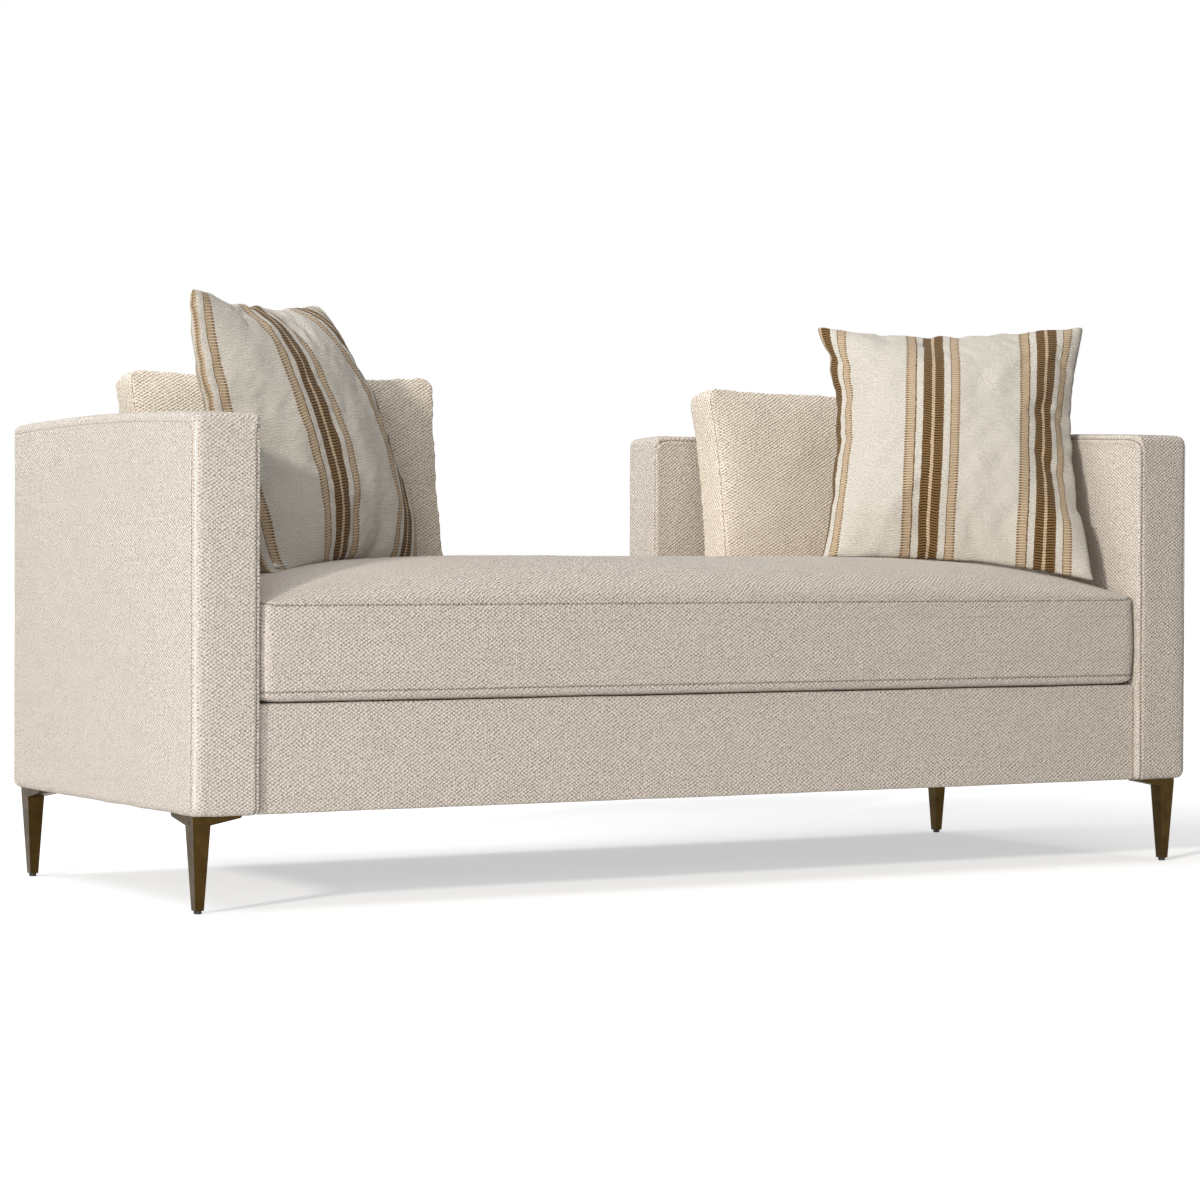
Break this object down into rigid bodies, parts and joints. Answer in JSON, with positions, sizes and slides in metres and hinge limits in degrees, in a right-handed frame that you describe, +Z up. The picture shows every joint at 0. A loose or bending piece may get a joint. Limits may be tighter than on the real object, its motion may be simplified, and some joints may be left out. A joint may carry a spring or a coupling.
{
  "type": "track-arm settee",
  "caption": "Backless-middle settee: padded track arms with short back returns, one boxed bench cushion, loose back cushions and striped pillows, on tapered brass legs.",
  "frame": {"origin": "centre of the footprint at floor level, under the glides", "axes": "+X along the seat to the right as seen from the front, -Y to the front, +Z up"},
  "size_m": [1.87, 0.735, 0.9438],
  "materials": {
    "oatmeal_weave": "chunky basket weave",
    "cream_twill": "diagonal twill weave",
    "striped_cotton": "brushed off-white cloth with woven brown and tan stripes",
    "polyester_fibre": "bonded fibre wadding",
    "seat_foam": "open-cell foam",
    "pillow_fill": "soft fill in a plain case",
    "hardwood": "sawn, unfinished",
    "dowel_beech": "smooth",
    "fibreboard": "smooth board",
    "spring_steel": "oiled wire",
    "clip_steel": "zinc plated",
    "burlap": "coarse jute weave",
    "deck_felt": "needled felt",
    "deck_cotton": "plain cotton",
    "dust_cloth": "black spunbond",
    "antique_brass": "antiqued satin",
    "black_nylon": "smooth",
    "screw_steel": "black oxide"
  },
  "bodies": {
    "frame": {"front_rail": "hardwood", "back_rail": "hardwood", "left_side_rails": "hardwood", "right_side_rails": "hardwood", "cross_braces": "hardwood", "corner_blocks": "hardwood", "left_end_posts": "hardwood", "right_end_posts": "hardwood", "left_arm_top_rail": "hardwood", "right_arm_top_rail": "hardwood", "left_return_rails": "hardwood", "right_return_rails": "hardwood", "left_end_panels": "fibreboard", "right_end_panels": "fibreboard", "frame_dowels": "dowel_beech", "spring_cleats": "hardwood", "seat_springs": "spring_steel", "spring_clips": "clip_steel", "deck_burlap": "burlap", "deck_pad": "deck_felt", "deck_cloth": "deck_cotton", "left_end_padding": "polyester_fibre", "right_end_padding": "polyester_fibre", "left_end_cover": "oatmeal_weave", "right_end_cover": "oatmeal_weave", "front_rail_padding": "polyester_fibre", "front_rail_cover": "oatmeal_weave", "back_rail_padding": "polyester_fibre", "back_rail_cover": "oatmeal_weave", "dust_cover": "dust_cloth", "front_left_leg": "antique_brass", "front_right_leg": "antique_brass", "back_left_leg": "antique_brass", "back_right_leg": "antique_brass", "leg_glides": "black_nylon", "leg_screws": "screw_steel"},
    "seat_cushion": {"seat_cushion_cover": "oatmeal_weave", "seat_cushion_core": "seat_foam"},
    "left_back_cushion": {"left_back_cushion_cover": "cream_twill", "left_back_cushion_core": "seat_foam"},
    "right_back_cushion": {"right_back_cushion_cover": "cream_twill", "right_back_cushion_core": "seat_foam"},
    "left_pillow": {"left_pillow_cover": "striped_cotton", "left_pillow_insert": "pillow_fill"},
    "right_pillow": {"right_pillow_cover": "striped_cotton", "right_pillow_insert": "pillow_fill"}
  },
  "joints": [
    {"name": "seat_cushion_lift", "type": "slide", "parent": "frame", "child": "seat_cushion", "axis": [0, 0, 1], "range_m": [0, 0.45]},
    {"name": "left_back_cushion_lift", "type": "slide", "parent": "seat_cushion", "child": "left_back_cushion", "axis": [0, 0, 1], "range_m": [0, 0.29]},
    {"name": "right_back_cushion_lift", "type": "slide", "parent": "seat_cushion", "child": "right_back_cushion", "axis": [0, 0, 1], "range_m": [0, 0.29]},
    {"name": "left_pillow_lift", "type": "slide", "parent": "left_back_cushion", "child": "left_pillow", "axis": [0, 0, 1], "range_m": [0, 0.26]},
    {"name": "right_pillow_lift", "type": "slide", "parent": "seat_cushion", "child": "right_pillow", "axis": [0, 0, 1], "range_m": [0, 0.25]}
  ]
}
